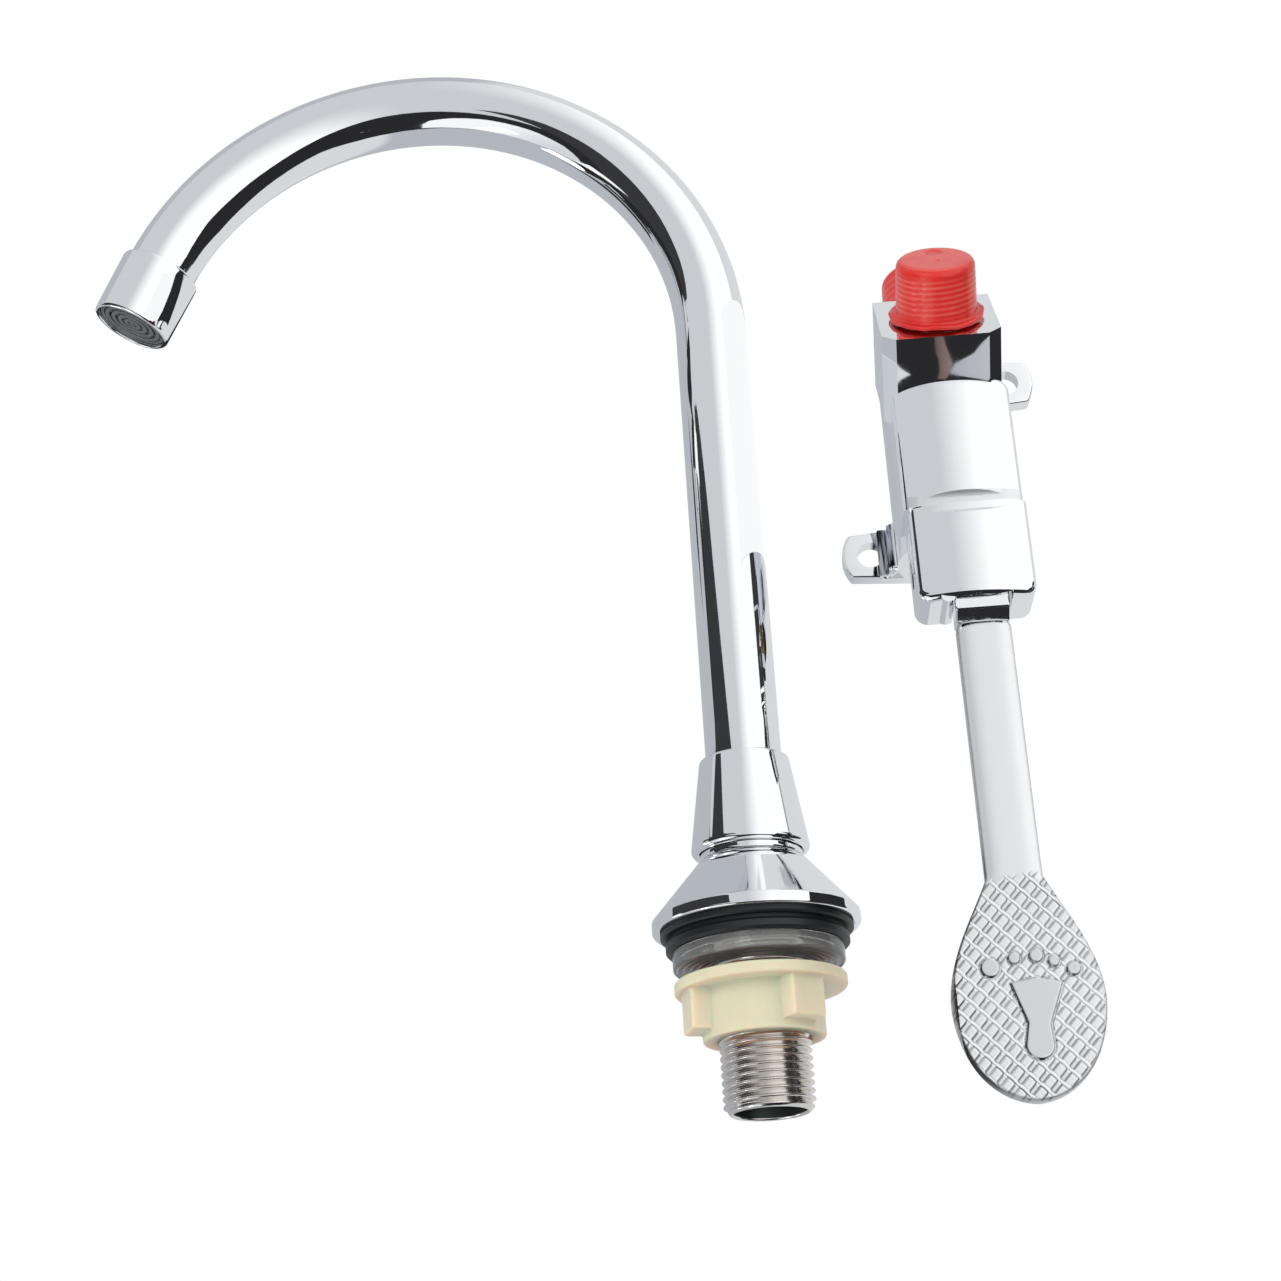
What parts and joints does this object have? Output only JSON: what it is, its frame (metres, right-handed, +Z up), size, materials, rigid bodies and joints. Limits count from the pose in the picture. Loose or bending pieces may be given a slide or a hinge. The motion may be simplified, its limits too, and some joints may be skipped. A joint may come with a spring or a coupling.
{
  "type": "swivel tap",
  "caption": "Gooseneck swivel spout for a sink deck with a separate pedal-operated valve, chrome, with capped ports and a tread on a flat lever.",
  "frame": {"origin": "centre of the spout's deck seat, on the shank's axis at the underside of the rubber gasket", "axes": "+Z up along the shank, the spout points towards -X at rest, the valve stands at +X with its wall face towards +Y and its pedal hanging down"},
  "size_m": [0.2419, 0.0651, 0.2871],
  "materials": {
    "chrome_plate": "mirror-bright chrome plate on brass",
    "satin_chrome": "satin chrome on zinc casting",
    "raw_brass": "machined brass",
    "nickel_thread": "nickel-plated brass, warm grey",
    "stainless": "bright stainless steel",
    "black_rubber": "matt black rubber",
    "clear_vinyl": "smoky clear vinyl",
    "cream_abs": "cream moulded plastic",
    "red_cap": "translucent red polythene",
    "grey_plastic": "grey moulded plastic",
    "white_acetal": "white acetal"
  },
  "bodies": {
    "fixed": {"threaded_shank": "nickel_thread", "cone_flange": "chrome_plate", "deck_gasket": "black_rubber", "swivel_collar": "chrome_plate", "slip_washer": "white_acetal", "thrust_washer": "white_acetal", "valve_body": "chrome_plate", "gland_bush": "raw_brass", "gland_o_rings": "black_rubber", "nipple_seal": "black_rubber", "inlet_nipple": "chrome_plate", "inlet_strainer": "stainless", "return_spring": "stainless", "hinge_pin": "stainless"},
    "spout": {"gooseneck_tube": "chrome_plate", "spout_end_bush": "raw_brass", "spout_o_rings": "black_rubber", "aerator_housing": "chrome_plate", "aerator_washer": "black_rubber", "aerator_cartridge": "grey_plastic", "aerator_screens": "stainless", "flow_disc": "grey_plastic"},
    "pedal": {"pedal_lever": "satin_chrome"},
    "plunger": {"plunger": "raw_brass", "seat_washer": "black_rubber"},
    "backnut": {"backnut": "cream_abs", "clear_washer": "clear_vinyl"},
    "inlet_cap": {"inlet_cap": "red_cap"},
    "outlet_cap": {"outlet_cap": "red_cap"}
  },
  "joints": [
    {"name": "spout_swivel", "type": "hinge", "parent": "fixed", "child": "spout", "pos_m": [0, 0, 0.0339], "axis": [0, 0, 1], "continuous": true},
    {"name": "pedal_pivot", "type": "hinge", "parent": "fixed", "child": "pedal", "pos_m": [0.0562, -0.013, 0.0834], "axis": [1, 0, 0], "range_deg": [0, 9], "stiffness_Nm_per_rad": 0.34, "springref_deg": -17.19},
    {"name": "plunger_slide", "type": "slide", "parent": "fixed", "child": "plunger", "axis": [0, 0, 1], "range_m": [0, 0.00205], "deforming": ["return_spring"]},
    {"name": "backnut_travel", "type": "slide", "parent": "fixed", "child": "backnut", "axis": [0, 0, 1], "range_m": [-0.012, 0]},
    {"name": "inlet_cap_pull", "type": "slide", "parent": "fixed", "child": "inlet_cap", "axis": [0, 0, 1], "range_m": [0, 0.016]},
    {"name": "outlet_cap_pull", "type": "slide", "parent": "fixed", "child": "outlet_cap", "axis": [0, -0.766, 0.6428], "range_m": [0, 0.018]}
  ],
  "couplings": [
    {"joint": "plunger_slide", "follows": "pedal_pivot", "m_per_rad": 0.013}
  ]
}
